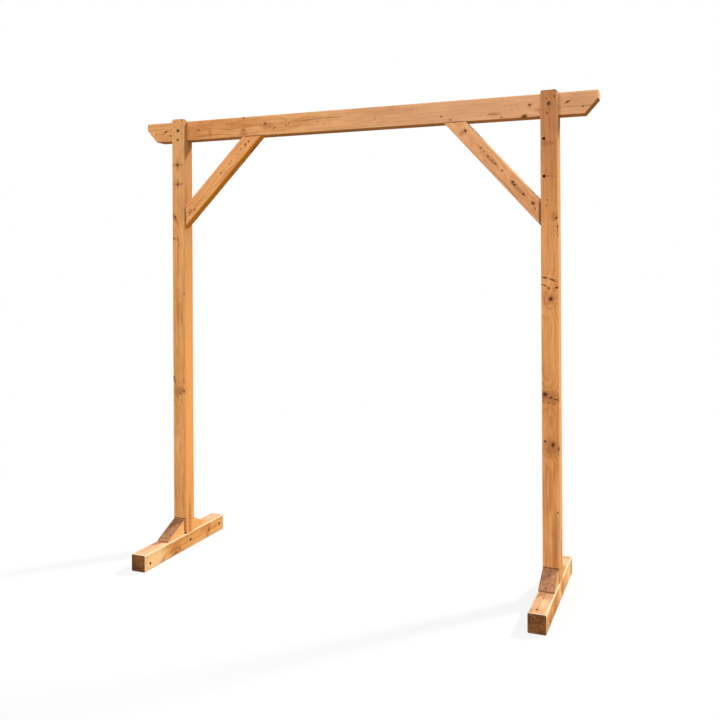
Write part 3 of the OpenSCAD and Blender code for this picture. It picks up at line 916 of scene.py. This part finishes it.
# Radius and height of each corner, from the tip to the rim of the recess
SCREW_PROFILE = ((0, -45), (1.2, -40), (1.8, -34), (1.8, -4), (4.4, -0.4), (4.4, 0), (4.0, 0.35),
                 (2.6, 0.4))
# The recess: how deep it is, how many lobes its star has, its mean radius and the height of its
# waves as shares of the rim's radius
RECESS_DEPTH, LOBES, STAR, WAVE = 1.8, 6, 0.82, 0.14


def first_verts(part):
    """One number for the three lowest vertices of an edge or face, to sort it by."""
    lowest = sorted(vert.index for vert in part.verts)[:3]
    return sum(index / 1000 ** place for place, index in enumerate(lowest))


def screw(name, head, facing):
    """A wood screw whose head looks this way out of the timber."""
    bm = bmesh.new()
    points = [bm.verts.new((r * MM, 0, z * MM)) for r, z in SCREW_PROFILE]
    edges = [bm.edges.new(pair) for pair in zip(points, points[1:])]
    bmesh.ops.spin(bm, geom=points + edges, cent=(0, 0, 0), axis=(0, 0, 1), angle=math.tau,
                   steps=SCREW_STEPS, use_merge=True)
    bmesh.ops.remove_doubles(bm, verts=bm.verts, dist=SAME * MM)
    for down in (0, RECESS_DEPTH):
        rim = [edge for edge in bm.edges if edge.is_boundary]
        grown = bmesh.ops.extrude_edge_only(bm, edges=rim)["geom"]
        for vert in [item for item in grown if isinstance(item, bmesh.types.BMVert)]:
            vert.co.z -= down * MM
            if not down:
                turn = math.atan2(vert.co.y, vert.co.x)
                vert.co.xy *= STAR + WAVE * math.cos(LOBES * turn)
    bmesh.ops.contextual_create(bm, geom=[edge for edge in bm.edges if edge.is_boundary])
    bmesh.ops.recalc_face_normals(bm, faces=bm.faces)
    aim = Vector(facing).to_track_quat("Z", "Y").to_matrix().to_4x4()
    bmesh.ops.transform(bm, matrix=Matrix.Translation(head) @ aim, verts=bm.verts)
    # The operators leave edges and faces in another order on each run, so they are put in order.
    bm.verts.index_update()
    bm.edges.sort(key=first_verts)
    bm.faces.sort(key=first_verts)
    mesh = bpy.data.meshes.new(name)
    bm.to_mesh(mesh)
    bm.free()
    piece = bpy.data.objects.new(name, mesh)
    scene.collection.objects.link(piece)
    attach(piece, "root")
    print(name, len(mesh.polygons), "faces")
    return piece


# Millimetres above the ground and behind the post's front
SCREW_HEIGHT, SCREW_BACK = 116, 29
screws = []
for name, inner in (("left_post", 1), ("right_post", -1)):
    low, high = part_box(name)
    face = high[0] if inner > 0 else low[0]
    head = Vector((face, low[1] + SCREW_BACK * MM, SCREW_HEIGHT * MM))
    screws.append(screw(name + "_screw", head, (inner, 0, 0)))

# %% [markdown]
# ## Zinc
# Bolts, nuts and screws are mild steel with a thin electroplated coat of zinc. New zinc is bright
# and bluish. Out of doors it goes dull within a year: zinc oxide spreads in cloudy patches, and
# the tannin of wet wood stains it brown. So this is a metal whose colour drifts between grey and
# brown in patches a few millimetres wide, and whose duller patches are also rougher. It is also
# drawn browner and rougher the higher it is, which is painted shade. A metal needs no IOR of its
# own, because its base colour already says what it reflects.

# %% Weathered zinc plate
zinc = bpy.data.materials.new("weathered_zinc_plate")
tree = new_tree(zinc)
place = add(tree, "TexCoord").node.outputs["Object"]
in_mm = add(tree, "Mapping", {"Vector": place, "Scale": (1 / MM, 1 / MM, 1 / MM)})
oxide = add(tree, "TexNoise", {"Vector": in_mm, "Scale": 1 / 4, "Detail": 3.0, "Roughness": 0.6})
oxide = add(tree, "MapRange", {"Value": oxide, "From Min": 0.35, "From Max": 0.65, "To Max": 0.5})
height = add(tree, "SeparateXYZ", (place,)).node.outputs["Z"]
# Darker and rougher higher up: painted shade.
painted_shade_high_up = add(tree, "MapRange", {"Value": height, "From Min": 0.3, "From Max": 1.8, "To Max": 0.5})
oxide = add(tree, "Math", (oxide, painted_shade_high_up), operation="ADD")
tone = add(tree, "Mix", {"Factor": oxide, "A": linear("8E8070"), "B": linear("3A2618")}, data_type="RGBA")
dull = add(tree, "MapRange", {"Value": oxide, "To Min": 0.42, "To Max": 0.62})
pits = add(tree, "TexNoise", {"Vector": in_mm, "Scale": 1.0, "Detail": 2.0})
pits = add(tree, "Bump", {"Height": pits, "Strength": 0.3, "Distance": 0.1 * MM})
surface = add(tree, "BsdfPrincipled", {"Base Color": tone, "Metallic": 1.0, "Roughness": dull,
                                       "Normal": pits})
add(tree, "OutputMaterial", {"Surface": surface})
for piece in screws:
    piece.data.materials.append(zinc)
for name, node in frame["nodes"].items():
    if "bolt" in name or "nut" in name:
        node.data.materials.clear()
        node.data.materials.append(zinc)
        print(name, "is zinc plated")
